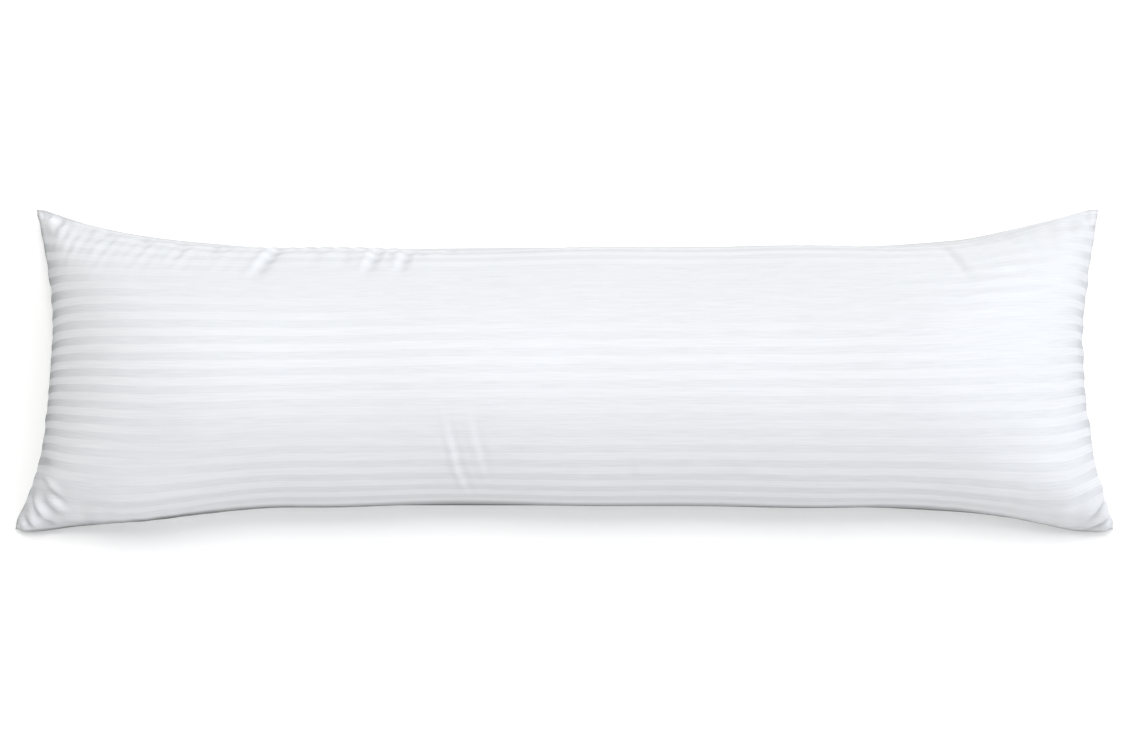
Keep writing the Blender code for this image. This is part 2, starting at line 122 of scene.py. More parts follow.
# Creases pressed into the upper panel, as soft ridges and troughs.  A place is in metres
# along and across the flat panel from its middle.  Columns: start along, start across, end
# along, end across, sideways bow, half width, height (below zero a trough), and where along
# the crease it is highest.
TOP_CREASES = (
    # slanting folds under the far seam, left of the middle
    (-0.628, 0.235, -0.641, 0.186, 0.001, 0.006, -0.0022, 0.40),
    (-0.575, 0.235, -0.577, 0.180, 0.001, 0.006, -0.0028, 0.40),
    (-0.521, 0.234, -0.520, 0.160, 0.001, 0.006, -0.0022, 0.40),
    (-0.472, 0.234, -0.475, 0.165, 0.001, 0.006, -0.0026, 0.40),
    (-0.381, 0.232, -0.414, 0.122, 0.003, 0.008, -0.0046, 0.45),
    (-0.396, 0.230, -0.429, 0.128, 0.003, 0.007, 0.0030, 0.45),
    (-0.331, 0.220, -0.337, 0.150, 0.001, 0.008, -0.0015, 0.45),
    (-0.291, 0.215, -0.297, 0.148, 0.001, 0.007, -0.0018, 0.45),
    (-0.247, 0.226, -0.264, 0.134, 0.002, 0.007, -0.0038, 0.50),
    (-0.261, 0.224, -0.277, 0.140, 0.002, 0.006, 0.0024, 0.50),
    (-0.235, 0.220, -0.238, 0.160, 0.001, 0.005, -0.0016, 0.45),
    (-0.211, 0.224, -0.220, 0.136, 0.002, 0.007, -0.0034, 0.50),
    (-0.224, 0.222, -0.233, 0.142, 0.002, 0.006, 0.0022, 0.50),
    (-0.194, 0.222, -0.198, 0.168, 0.001, 0.006, -0.0016, 0.40),
    (-0.155, 0.226, -0.155, 0.186, 0.001, 0.006, -0.0014, 0.40),
    # one fold at the far right
    (0.508, 0.230, 0.529, 0.112, -0.003, 0.006, -0.0026, 0.50),
    # a pair of thin folds that climb from the near seam, left of the middle
    (-0.168, -0.040, -0.123, -0.208, -0.003, 0.0040, 0.0019, 0.62),
    (-0.159, -0.040, -0.114, -0.208, -0.003, 0.0045, -0.0013, 0.62),
    (-0.133, -0.055, -0.101, -0.175, -0.002, 0.0050, 0.0012, 0.55),
    (-0.123, -0.055, -0.091, -0.175, -0.002, 0.0050, -0.0010, 0.55),
    (0.080, -0.130, 0.092, -0.170, -0.001, 0.006, -0.0008, 0.50),
    # folds of the far left ear
    (-0.735, 0.238, -0.747, 0.204, 0.001, 0.0040, -0.0036, 0.50),
    (-0.713, 0.239, -0.737, 0.203, 0.001, 0.0048, 0.0050, 0.50),
    (-0.700, 0.238, -0.727, 0.194, 0.003, 0.0050, -0.0040, 0.45),
    # folds of the near left ear, which fan out from the corner
    (-0.742, -0.135, -0.690, -0.160, 0.002, 0.0080, -0.0036, 0.40),
    (-0.714, -0.161, -0.662, -0.183, 0.001, 0.0038, 0.0042, 0.45),
    (-0.718, -0.171, -0.662, -0.193, 0.001, 0.0040, -0.0042, 0.45),
    (-0.708, -0.180, -0.660, -0.205, 0.001, 0.0058, 0.0068, 0.50),
    (-0.718, -0.192, -0.666, -0.217, 0.002, 0.0040, -0.0046, 0.45),
    (-0.692, -0.205, -0.658, -0.217, 0.000, 0.0040, 0.0028, 0.50),
    (-0.726, -0.187, -0.694, -0.221, 0.001, 0.0052, 0.0068, 0.50),
    (-0.740, -0.182, -0.708, -0.221, 0.001, 0.0034, -0.0056, 0.50),
    (-0.713, -0.216, -0.684, -0.230, 0.001, 0.0036, -0.0036, 0.50),
    (-0.734, -0.207, -0.710, -0.231, 0.001, 0.0050, 0.0058, 0.50),
    (-0.745, -0.206, -0.712, -0.233, -0.003, 0.0036, -0.0048, 0.50),
    (-0.746, -0.220, -0.722, -0.236, -0.001, 0.0045, 0.0042, 0.50),
    # folds of the near right ear, which curve round the corner
    (0.625, -0.200, 0.716, -0.203, 0.000, 0.0090, 0.0036, 0.55),
    (0.749, -0.181, 0.684, -0.218, 0.0120, 0.0032, -0.0052, 0.45),
    (0.750, -0.191, 0.690, -0.224, 0.0100, 0.0038, 0.0046, 0.45),
    (0.749, -0.199, 0.682, -0.227, 0.0060, 0.0030, -0.0042, 0.50),
    (0.750, -0.207, 0.690, -0.230, 0.0030, 0.0036, 0.0034, 0.50),
    (0.749, -0.211, 0.690, -0.233, 0.0040, 0.0030, -0.0050, 0.50),
    (0.750, -0.220, 0.720, -0.236, 0.0010, 0.0045, 0.0042, 0.50),
    # folds of the far right ear, and one that runs beside the far seam
    (0.500, 0.203, 0.706, 0.229, -0.003, 0.0036, -0.0022, 0.55),
    (0.728, 0.238, 0.735, 0.210, -0.001, 0.005, -0.0022, 0.40),
    (0.750, 0.205, 0.726, 0.196, 0.001, 0.005, -0.0020, 0.30),
)
CREASE_TAPER_POWER = 1.5

# Creases of the underside, with the same columns.
UNDERSIDE_CREASES = (
    (-0.735, 0.165, -0.630, 0.190, 0.004, 0.012, -0.0045, 0.35),
    (-0.735, -0.165, -0.630, -0.195, -0.004, 0.012, -0.0045, 0.35),
    (0.735, 0.165, 0.630, 0.190, -0.004, 0.012, -0.0045, 0.35),
    (0.735, -0.165, 0.630, -0.195, 0.004, 0.012, -0.0045, 0.35),
    (-0.350, 0.226, -0.370, 0.150, 0.003, 0.012, -0.0040, 0.40),
    (0.120, 0.226, 0.100, 0.155, 0.003, 0.012, -0.0035, 0.40),
    (0.410, -0.226, 0.440, -0.150, 0.003, 0.012, -0.0040, 0.40),
    (-0.180, -0.226, -0.150, -0.155, 0.003, 0.012, -0.0035, 0.40),
)

# Puckers where the cloth is gathered into a seam: waves that run along the seam.
# Columns: wave length, share, phase.
PUCKER_WAVES = ((0.034, 0.60, 0.4), (0.053, 0.40, 2.1))
PUCKER_REACH = 0.020
PUCKER_HEIGHT_SHORT_SEAM = 0.0024

# Those of the long seams grow from the middle to the tips with a power of the place.
PUCKER_HEIGHT_LONG_SEAM = 0.0016
PUCKER_POWER_LONG_SEAM = 4

# What is added to the phase at each seam and underneath, so that no two look alike.
PUCKER_TURN_LEFT = 0.0
PUCKER_TURN_RIGHT = 1.9
PUCKER_TURN_FAR = 0.8
PUCKER_TURN_NEAR = 3.1
PUCKER_TURN_UNDERSIDE = 2.6

# The short seams waver in plan by this much, and less towards the tips with a power.
SEAM_WAVER = 0.0012
SEAM_WAVER_POWER = 4

# Fine slanting puckers under the far seam.  Columns: height, wave length, how far a pucker
# slides along for each metre that it runs in from the seam, middle and half width of the
# patch along, place and half width of the patch in from the seam, phase.
SLANT_PUCKERS = (
    (0.0010, 0.0185, 0.30, -0.600, 0.130, 0.040, 0.040, 0.0),
    (0.0006, 0.0270, 0.45, -0.560, 0.170, 0.050, 0.050, 1.3),
    (0.0009, 0.0230, 0.35, -0.300, 0.170, 0.022, 0.025, 2.0),
    (0.0004, 0.0250, -0.30, 0.480, 0.180, 0.035, 0.035, 0.7),
    (0.0004, 0.0210, 0.20, 0.080, 0.160, 0.015, 0.018, 0.3),
)

# Broad unevenness of the fill: rise, wave length along, wave length across, phase.
FILL_SWELLS = (
    (0.0022, 0.57, 0.62, 0.7),
    (0.0016, 0.33, 0.41, 2.9),
)

# The near ears are plump.  Columns: rise of the swell, its middle along and across the flat
# panel, and its reach along and across.
EAR_SWELLS = (
    (0.0170, -0.590, -0.180, 0.130, 0.046),
    (0.0145, 0.620, -0.180, 0.125, 0.046),
)

# Relief fades out where the pillow is thinner than this, and next to the flat rest until the
# underside has risen by this share of its way to the seam.
FULL_RELIEF_THICKNESS = 0.014
FULL_RELIEF_RISE = 0.25

# How far the stripes leave their straight cut.  All along, they sag towards the near seam,
# most at the left.  At the left end they crowd further down on the far side of the middle.  To
# the right they spread away from the middle, and at the very end they are pulled together
# again and a little up.  Next to the long seams, where they are sewn, these fade out with a
# power of the place across.
DRIFT_MIDDLE = 0.0062
DRIFT_SLANT = 0.0052
DRIFT_LEFT = 0.016
DRIFT_LEFT_REACH = 0.12
DRIFT_LEFT_PLACE = 0.28
DRIFT_LEFT_WIDTH = 0.45
DRIFT_EAR = 0.006
DRIFT_EAR_PLACE = (0.12, -0.72)
DRIFT_EAR_WIDTH = (0.08, 0.30)
SPREAD_RIGHT = 0.019
SPREAD_RIGHT_REACH = 0.33
SPREAD_RIGHT_END = 0.07
DRIFT_RIGHT = 0.0045
DRIFT_RIGHT_REACH = 0.13
DRIFT_HOLD_POWER = 8

# Steps of the running sums on each side of the middle, and what stands in for zero where it
# would be divided by.
PROFILE_STEPS = 400
SMALLEST = 1e-9

# Stripes this close to a long seam are cut into more rows of faces, for the folds there.
FINE_ROWS_REACH = 0.085

# Along the pillow, faces stand closer at the folds left of the middle and at both ends.
# Columns: place from -1 to 1, reach, and how much closer.
CROWDS = ((-0.40, 0.30, 0.9), (-1.00, 0.09, 1.6), (1.00, 0.09, 1.6))
CROWD_STEPS = 2000

# The map of the cloth, and the two values at its points that the materials read: the painted
# shade beside the seams and in troughs, and the painted light on the stripes.
CLOTH_MAP = "cloth"
PAINTED_SEAM_SHADE = "seam_light"
PAINTED_STRIPE_LIGHT = "bunched"

# The underside lies this far beside the upper panel on the map, so that their grain differs.
UNDERSIDE_MAP_SHIFT = 0.60

# Painted shade: the stitched line lies in its own shade, and the near seam also in that of the
# bulge over it, which overhangs most at the left.  Both are painted into the cloth's colour,
# wider than they really are, to be seen.  The gathered cloth beside the seams gets a little
# painted shade too.  Each shade is the share of brightness that is lost at the seam, and each
# reach is in metres.
STITCH_SHADE_FAR = 0.22
STITCH_SHADE_NEAR = 0.80
STITCH_SHADE_LEFT = 0.34
STITCH_SHADE_RIGHT = 0.18
STITCH_REACH = 0.0040
BULGE_SHADE = 0.42
BULGE_REACH = 0.0160
BULGE_LEFT = 1.1
BULGE_LEFT_PLACE = -0.74
BULGE_LEFT_WIDTH = 0.16
GATHER_SHADE_FAR = 0.06
GATHER_SHADE_NEAR = 0.12
GATHER_SHADE_LEFT = 0.38
GATHER_SHADE_RIGHT = 0.12
GATHER_REACH = 0.035

# Towards the tips the near stitches lose a share of their shade, and the bulge and the gathers
# all of theirs, each with a power of the place along the seam.
STITCH_FADE_NEAR = 0.6
STITCH_FADE_POWER = 16
FADE_POWER_LONG_SEAM = 6
FADE_POWER_SHORT_SEAM = 2

# A trough between folds is deeper in real cloth than here, so painted shade dims it by this
# share for each metre of its depth.
TROUGH_SHADE = 34.0

# Painted light on the stripes: the plain stripe is painted lighter and the satin darker, so
# that the two run together, in the ears, beside the near seam, and in the middle and at the
# far right, where the cloth faces the light most; at both ends, where the satin's sheen shows
# most, they are painted further apart.  Columns: middle along and across the flat panel, half
# width along and across, and amount, which is below zero where they stand out.
PAINTED_STRIPE_LIGHT_PATCHES = (
    (-0.700, -0.205, 0.110, 0.045, 0.9),
    (-0.540, -0.225, 0.150, 0.030, 0.7),
    (0.660, -0.215, 0.090, 0.035, 1.0),
    (-0.720, 0.220, 0.040, 0.030, 1.0),
    (0.590, 0.120, 0.120, 0.130, 0.8),
    (0.745, -0.010, 0.035, 0.180, -0.8),
    (-0.735, 0.020, 0.080, 0.150, -0.6),
    (0.000, 0.000, 0.450, 0.110, 0.30),
    (0.180, -0.234, 0.520, 0.028, 0.8),
)

# The grain of the cloth, as noise: how much fine detail is in it, and how much of its relief
# is shown.
GRAIN_DETAIL = 2.0
GRAIN_ROUGHNESS = 0.5
GRAIN_RELIEF = 0.4

# Sockets of a Mix node that mixes colours.  Their names repeat for each kind of data, so they
# go by number.
MIX_FIRST = 6
MIX_SECOND = 7
MIXED = 2


# ----------------------------------
# Shape of the two panels
# ----------------------------------

def smooth_curve(table, place):
    """Read a two-column table at any place.

    A cubic joins each pair of rows.  Its slope at a row is the harmonic mean of the slopes on
    both sides, and level where they change sign, so the curve never overshoots.
    """
    stops, values = np.array(table, dtype=float).T
    steps = np.diff(stops)
    slopes = np.diff(values) / steps
    level = slopes[:-1] * slopes[1:] <= 0.0
    harmonic = 2.0 * slopes[:-1] * slopes[1:] / np.where(level, 1.0, slopes[:-1] + slopes[1:])
    inner = np.where(level, 0.0, harmonic)
    tangents = np.concatenate(([slopes[0]], inner, [slopes[-1]]))
    span = np.clip(np.searchsorted(stops, place, side="right") - 1, 0, len(steps) - 1)
    t = (place - stops[span]) / steps[span]
    start = values[span] * (1.0 + 2.0 * t) * (1.0 - t) ** 2
    end = values[span + 1] * (3.0 - 2.0 * t) * t ** 2
    leave = tangents[span] * steps[span] * t * (1.0 - t) ** 2
    arrive = tangents[span + 1] * steps[span] * (t - 1.0) * t ** 2
    return start + end + leave + arrive


def bent_profile(slope_of):
    """Walk along a strip of cloth bent to a known slope, from seam to seam.

    The distance covered in plan is the running sum of the cosine of the slope, scaled to run
    from -1 to 1.  The height is the running sum of its sine, scaled to 0 at each seam and 1
    at the crown.
    """
    fraction = np.linspace(-1.0, 1.0, 2 * PROFILE_STEPS + 1)
    angle = slope_of(fraction)
    middle = 0.5 * (angle[1:] + angle[:-1])
    run = np.concatenate(([0.0], np.cumsum(np.cos(middle))))
    rise = np.concatenate(([0.0], np.cumsum(np.sin(middle))))
    crown = rise.max()
    side_start = np.where(fraction < fraction[rise.argmax()], rise[0], rise[-1])
    height = (rise - side_start) / (crown - side_start)
    return fraction, 2.0 * run / run[-1] - 1.0, height


def slope_across(v):
    """Slope across: the skew times v squared, less the steepest times a mix of v and its cube."""
    steep = np.radians(SLOPE_ACROSS)
    skew = np.radians(SLOPE_ACROSS_SKEW)
    return skew * v ** 2 - steep * (SLOPE_ACROSS_EVEN * v + (1.0 - SLOPE_ACROSS_EVEN) * v ** 3)


def slope_along(u):
    """Slope along the pillow: a high power of u, nearly level, then dropping to the seams."""
    return -np.radians(SLOPE_ALONG) * np.sign(u) * np.abs(u) ** SLOPE_ALONG_POWER


def share_height(one, other):
    """Join two height profiles: their product over their sum less their product."""
    return one * other / np.maximum(one + other - one * other, SMALLEST)


def seam_place(table, place, tip_height, middle_height):
    """Draw-in and height of a seam at places from -1 to 1 along it."""
    drawn_in = smooth_curve(table, place)
    most = max(row[1] for row in table)
    return drawn_in, tip_height + (middle_height - tip_height) * drawn_in / most


def gather_waves(along_seam, turn):
    """The uneven wave of a gathered seam, a sum of sines between about -1 and 1."""
    return sum(
        share * np.sin(2.0 * np.pi * along_seam / length + phase + turn)
        for length, share, phase in PUCKER_WAVES
    )


def seam_plan(u, v, width):
    """Plan and seam height under each point, blended from the four seams.

    The plan is a Coons patch: the blend of the two long seams, plus the blend of the two
    short seams, less the blend of the four tips.  The height is the mean of the four seams,
    each weighted by the inverse square of its distance.
    """
    to_right = 0.5 * (1.0 + u)
    to_far = 0.5 * (1.0 + v)
    tip_height = TIP_HEIGHT_NEAR * (1.0 - to_far) + TIP_HEIGHT_FAR * to_far
    far_in, far_height = seam_place(FAR_SEAM, u, TIP_HEIGHT_FAR, HEIGHT_FAR)
    near_in, near_height = seam_place(NEAR_SEAM, u, TIP_HEIGHT_NEAR, HEIGHT_NEAR)
    left_in, left_height = seam_place(LEFT_SEAM, v, tip_height, HEIGHT_LEFT)
    right_in, right_height = seam_place(RIGHT_SEAM, v, tip_height, HEIGHT_RIGHT)
    waver = SEAM_WAVER * (1.0 - v ** SEAM_WAVER_POWER)
    left_in = left_in + waver * gather_waves(v * width / 2.0, PUCKER_TURN_LEFT)
    right_in = right_in + waver * gather_waves(v * width / 2.0, PUCKER_TURN_RIGHT)

    tips_left = TIP_X_NEAR_LEFT * (1.0 - to_far) + TIP_X_FAR_LEFT * to_far
    tips_right = TIP_X_NEAR_RIGHT * (1.0 - to_far) + TIP_X_FAR_RIGHT * to_far
    x = (tips_left + left_in) * (1.0 - to_right) + (tips_right - right_in) * to_right
    y = (near_in - TIP_Y_NEAR) * (1.0 - to_far) + (TIP_Y_FAR - far_in) * to_far

    pull_far = 1.0 / np.maximum(1.0 - v, SMALLEST) ** 2
    pull_near = 1.0 / np.maximum(1.0 + v, SMALLEST) ** 2
    pull_left = 1.0 / np.maximum(1.0 + u, SMALLEST) ** 2
    pull_right = 1.0 / np.maximum(1.0 - u, SMALLEST) ** 2
    total = pull_far + pull_near + pull_left + pull_right
    pulled = (far_height * pull_far + near_height * pull_near
              + left_height * pull_left + right_height * pull_right)
    return x, y, pulled / total


def round_tips(x, y, u, v, length, width):
    """Pull the points close to each corner towards the middle, fading as a bell curve."""
    along = (1.0 - np.abs(u)) * length / 2.0
    across = (1.0 - np.abs(v)) * width / 2.0
    pull = TIP_ROUNDING * np.exp(-(along ** 2 + across ** 2) / TIP_ROUNDING_REACH ** 2)
    return x - np.sign(u) * pull * np.sqrt(0.5), y - np.sign(v) * pull * np.sqrt(0.5)


def creases(a, b, table):
    """Sum of soft creases at distances a along and b across the flat panel.

    Each is a bell curve across its own line, which bows as a parabola, and rises and falls
    along it as a power of a sine, with its peak moved to the place that the table gives.
    """
    relief = np.zeros_like(a)
    for start_a, start_b, end_a, end_b, bow, half_width, height, peak in table:
        reach = np.hypot(end_a - start_a, end_b - start_b)
        along_a = (end_a - start_a) / reach
        along_b = (end_b - start_b) / reach
        along = ((a - start_a) * along_a + (b - start_b) * along_b) / reach
        held = np.clip(along, 0.0, 1.0)
        aside = (b - start_b) * along_a - (a - start_a) * along_b
        aside = aside - 4.0 * bow * held * (1.0 - held)
        half_way = np.log(0.5) / np.log(peak)
        taper = np.sin(np.pi * held ** half_way) ** CREASE_TAPER_POWER
        relief += height * taper * np.exp(-(aside / half_width) ** 2)
    return relief


def puckers(along_seam, from_seam, height, turn):
    """Gathers square to a seam: a wave along it times a hump, which is gone a few cm in.

    The hump is the distance from the seam, in reaches, times e to the power of one less that.
    """
    near = from_seam / PUCKER_REACH
    fade = near * np.exp(1.0 - near)
    return height * fade * gather_waves(along_seam, turn)


def panel_relief(a, b, length, width, table, turn):
    """All the small relief of one panel: creases, puckers and the unevenness of the fill.

    Slanting puckers are a sine along the seam, inside a patch that is a flat-topped bell along
    it and a plain bell away from it.  The fill swells as a product of two cosines, and in the
    ears as bell curves.
    """
    from_left = length / 2.0 + a
    from_right = length / 2.0 - a
    from_far = width / 2.0 - b
    from_near = width / 2.0 + b
    relief = creases(a, b, table)
    relief += puckers(b, from_left, PUCKER_HEIGHT_SHORT_SEAM, turn + PUCKER_TURN_LEFT)
    relief += puckers(b, from_right, PUCKER_HEIGHT_SHORT_SEAM, turn + PUCKER_TURN_RIGHT)
    ends = (a / (length / 2.0)) ** PUCKER_POWER_LONG_SEAM
    relief += ends * puckers(a, from_far, PUCKER_HEIGHT_LONG_SEAM, turn + PUCKER_TURN_FAR)
    relief += ends * puckers(a, from_near, PUCKER_HEIGHT_LONG_SEAM, turn + PUCKER_TURN_NEAR)
    for rise, wave, slide, middle, reach, deep, deep_reach, phase in SLANT_PUCKERS:
        patch = np.exp(-((a - middle) / reach) ** 4 - ((from_far - deep) / deep_reach) ** 2)
        relief += rise * patch * np.sin(2.0 * np.pi * (a + slide * from_far) / wave + phase)
    for rise, wave_along, wave_across, phase in FILL_SWELLS:
        wave = np.cos(2.0 * np.pi * a / wave_along + phase)
        relief += rise * (wave * np.cos(2.0 * np.pi * b / wave_across))
    for rise, at_a, at_b, reach_a, reach_b in EAR_SWELLS:
        relief += rise * np.exp(-((a - at_a) / reach_a) ** 2 - ((b - at_b) / reach_b) ** 2)
    return relief


def surface_normals(points):
    """Unit normals of a grid of points: the cross product of its two slopes."""
    along = np.gradient(points, axis=0)
    across = np.gradient(points, axis=1)
    normals = np.cross(along, across)
    return normals / np.maximum(np.linalg.norm(normals, axis=2, keepdims=True), SMALLEST)


def plain_panels(u, v, length, width, thickness):
    """The upper and the lower panel without relief, for grids u and v from -1 to 1.

    Each height is a share of the way from the seam to the crown, or down to the floor, and
    the cloth is drawn together in plan by as much as its slope takes up.
    """
    stops_v, run_v, height_v = bent_profile(slope_across)
    stops_u, run_u, height_u = bent_profile(slope_along)
    full_u = np.interp(u, stops_u, height_u)
    full_v = np.interp(v, stops_v, height_v)
    crown = share_height(full_u, full_v)
    plan_u = u + (np.interp(u, stops_u, run_u) - u) * full_v
    plan_v = v + (np.interp(v, stops_v, run_v) - v) * full_u ** 2
    x, y, seam_height = seam_plan(plan_u, plan_v, width)
    x, y = round_tips(x, y, u, v, length, width)

    inside_u = np.clip((1.0 - np.abs(u)) / (1.0 - REST_ALONG), 0.0, 1.0)
    inside_v = np.clip((1.0 - np.abs(v)) / (1.0 - REST_ACROSS), 0.0, 1.0)
    sink_u = 1.0 - (1.0 - inside_u) ** UNDERSIDE_POWER_ALONG
    sink_v = 1.0 - (1.0 - inside_v) ** UNDERSIDE_POWER_ACROSS
    sink = share_height(sink_u, sink_v)

    upper = np.stack((x, y, seam_height + (thickness - seam_height) * crown), axis=2)
    lower = np.stack((x, y, seam_height * (1.0 - sink)), axis=2)
    return upper, lower, sink


def relieved_panels(u, v, length, width, thickness):
    """The two panels, moved along their normals by the relief; the seam is left alone."""
    upper, lower, sink = plain_panels(u, v, length, width, thickness)
    a = u * length / 2.0
    b = v * width / 2.0
    room = np.clip((upper[:, :, 2] - lower[:, :, 2]) / FULL_RELIEF_THICKNESS, 0.0, 1.0)
    top = panel_relief(a, b, length, width, TOP_CREASES, 0.0) * room
    upper = upper + surface_normals(upper) * top[:, :, None]
    risen = np.clip((1.0 - sink) / FULL_RELIEF_RISE, 0.0, 1.0)
    low = panel_relief(a, b, length, width, UNDERSIDE_CREASES, PUCKER_TURN_UNDERSIDE)
    lower = lower - surface_normals(lower) * (low * room * risen)[:, :, None]
    lower[:, :, 2] = np.maximum(lower[:, :, 2], 0.0)
    return upper, lower


def seam_light(u, v, length, width):
    """Share of the cloth's colour left under the painted shade beside the seams and in troughs.

    Each painted shade is a bell curve of the distance from its seam.  Those of the bulge and of
    the gathers fade out towards the tips, and that of the near stitches does so in part.  A
    trough adds a painted shade in proportion to its depth.
    """
    hold_near = 1.0 - STITCH_FADE_NEAR * u ** STITCH_FADE_POWER
    hold_long = 1.0 - u ** FADE_POWER_LONG_SEAM
    hold_short = 1.0 - v ** FADE_POWER_SHORT_SEAM
    from_far = (1.0 - v) * width / 2.0
    from_near = (1.0 + v) * width / 2.0
    from_left = (1.0 + u) * length / 2.0
    from_right = (1.0 - u) * length / 2.0
    stitched = [depth * np.exp(-(distance / STITCH_REACH) ** 2) for depth, distance in (
        (STITCH_SHADE_FAR, from_far),
        (STITCH_SHADE_NEAR * hold_near, from_near),
        (STITCH_SHADE_LEFT, from_left),
        (STITCH_SHADE_RIGHT, from_right))]
    shade = np.max(stitched, axis=0)
    at_left = np.exp(-((u - BULGE_LEFT_PLACE) / BULGE_LEFT_WIDTH) ** 2)
    bulge = BULGE_SHADE * hold_long * (1.0 + BULGE_LEFT * at_left)
    shade += bulge * np.exp(-(from_near / BULGE_REACH) ** 2)
    gathered = [depth * np.exp(-(distance / GATHER_REACH) ** 2) for depth, distance in (
        (GATHER_SHADE_FAR * hold_long, from_far),
        (GATHER_SHADE_NEAR * hold_long, from_near),
        (GATHER_SHADE_LEFT * hold_short, from_left),
        (GATHER_SHADE_RIGHT * hold_short, from_right))]
    shade += np.max(gathered, axis=0)
    folds = creases(u * length / 2.0, v * width / 2.0, TOP_CREASES)
    shade += TROUGH_SHADE * np.maximum(-folds, 0.0)
    return np.maximum(1.0 - shade, 0.0)


def bunched(a, b):
    """How far the stripes are painted to run together, as painted light: a sum of bell curves.

    Each has its own amount.  It is 1 where they run together fully, and below zero where they
    stand out.
    """
    return sum(amount * np.exp(-((a - at_a) / reach_a) ** 2 - ((b - at_b) / reach_b) ** 2)
               for at_a, at_b, reach_a, reach_b, amount in PAINTED_STRIPE_LIGHT_PATCHES)


def drifted(u, v, width):
    """Where the thread that lies at v on the flat panel comes to rest.

    The sag is a hump across the panel, the square of one less v squared, that slants along the
    pillow.  The left end adds a bell curve of v and its near ear a small one.  The spread is
    v itself, fading along from the right end as an exponential and absent at the very end.
    """
    from_left = 1.0 + u
    from_right = 1.0 - u
    hump = 1.0 - v ** 2
    hold = 1.0 - v ** DRIFT_HOLD_POWER
    up = (DRIFT_SLANT * u - DRIFT_MIDDLE) * hump ** 2
    bell = np.exp(-((v - DRIFT_LEFT_PLACE) / DRIFT_LEFT_WIDTH) ** 2) * hold
    up -= DRIFT_LEFT * np.exp(-from_left / DRIFT_LEFT_REACH) * bell
    ear = np.exp(-((from_left - DRIFT_EAR_PLACE[0]) / DRIFT_EAR_WIDTH[0]) ** 2
                 - ((v - DRIFT_EAR_PLACE[1]) / DRIFT_EAR_WIDTH[1]) ** 2)
    up -= DRIFT_EAR * ear * hump
    spread = np.exp(-from_right / SPREAD_RIGHT_REACH)
    spread = spread * (1.0 - np.exp(-(from_right / SPREAD_RIGHT_END) ** 2))
    up += SPREAD_RIGHT * spread * v * hold
    up += DRIFT_RIGHT * np.exp(-(from_right / DRIFT_RIGHT_REACH) ** 2) * hump
    return v + 2.0 * up / width


# ----------------------------------
# Mesh
# ----------------------------------

def stripe_lines(width, repeat, first_middle, splits, splits_at_seam):
    """Fractions from -1 to 1 across a panel, with a line on the edge of every stripe.

    The stripe edges lie a quarter of a repeat each side of the middle of every plain stripe.
    Each stripe is cut into equal splits, and those near the seams into more.  Also returned
    is, for each strip between lines, 1 where it is plain woven and 0 where satin.
    """
    first_edge = first_middle - 0.25 * repeat
    count = int((width - first_edge) / (0.5 * repeat)) + 1
    edges = first_edge + 0.5 * repeat * np.arange(count)
    edges = np.concatenate(([0.0], edges, [width]))
    middles = 0.5 * (edges[:-1] + edges[1:])
    by_seam = np.minimum(middles, width - middles) < FINE_ROWS_REACH
    cuts = np.where(by_seam, splits_at_seam, splits)
    lines = [np.linspace(low, high, cut, endpoint=False)
             for low, high, cut in zip(edges[:-1], edges[1:], cuts)]
    lines = np.concatenate((*lines, [width]))
    plain = np.repeat(np.arange(len(edges) - 1) % 2, cuts)
    return 2.0 * lines / width - 1.0, plain


def crowded_steps(count):
    """Places from -1 to 1 that stand closer where the crowds are.

    How close is one plus a bell curve for each crowd, and equal parts of its running sum give
    the places.
    """
    even = np.linspace(-1.0, 1.0, CROWD_STEPS)
    crowd = np.ones_like(even)
    for place, reach, closer in CROWDS:
        crowd += closer * np.exp(-((even - place) / reach) ** 2)
    reached = np.concatenate(([0.0], np.cumsum(0.5 * (crowd[1:] + crowd[:-1]))))
    return np.interp(np.linspace(0.0, reached[-1], count + 1), reached, even)


def panel_quads(index):
    """The quads of a grid of point numbers, four corners each, turning anticlockwise."""
    corners = (index[:-1, :-1], index[1:, :-1], index[1:, 1:], index[:-1, 1:])
    return np.stack(corners, axis=2).reshape(-1, 4)


def joined_panels(upper, lower):
    """Points, faces and the grid corner of each face corner for two panels that share a rim."""
    rows, columns = upper.shape[:2]
    upper_index = np.arange(rows * columns).reshape(rows, columns)
    lower_index = upper_index.copy()
    inner = (rows - 2) * (columns - 2)
    lower_index[1:-1, 1:-1] = rows * columns + np.arange(inner).reshape(rows - 2, columns - 2)
    points = np.concatenate((upper.reshape(-1, 3), lower[1:-1, 1:-1].reshape(-1, 3)))
    faces = np.concatenate((panel_quads(upper_index), panel_quads(lower_index)[:, ::-1]))
    grid = panel_quads(upper_index)
    return points, faces, grid, grid[:, ::-1]


def mesh_from(name, points, faces):
    """A mesh filled from whole arrays of points and quads."""
    mesh = bpy.data.meshes.new(name)
    mesh.vertices.add(len(points))
    mesh.vertices.foreach_set("co", points.astype(np.float32).ravel())
    mesh.loops.add(faces.size)
    mesh.loops.foreach_set("vertex_index", faces.astype(np.int32).ravel())
    mesh.polygons.add(len(faces))
    mesh.polygons.foreach_set("loop_start", np.arange(0, faces.size, 4, dtype=np.int32))
    mesh.update(calc_edges=True)
    mesh.validate()
    mesh.shade_smooth()
    return mesh


# ----------------------------------
# Materials
# ----------------------------------

def colour(code):
    """Turn an sRGB hex code such as "f4f6fa" to linear red, green, blue and alpha."""
    parts = np.array([int(code[i:i + 2], 16) for i in (0, 2, 4)]) / 255.0
    linear = np.where(parts <= 0.04045, parts / 12.92, ((parts + 0.055) / 1.055) ** 2.4)
    return (*linear.tolist(), 1.0)


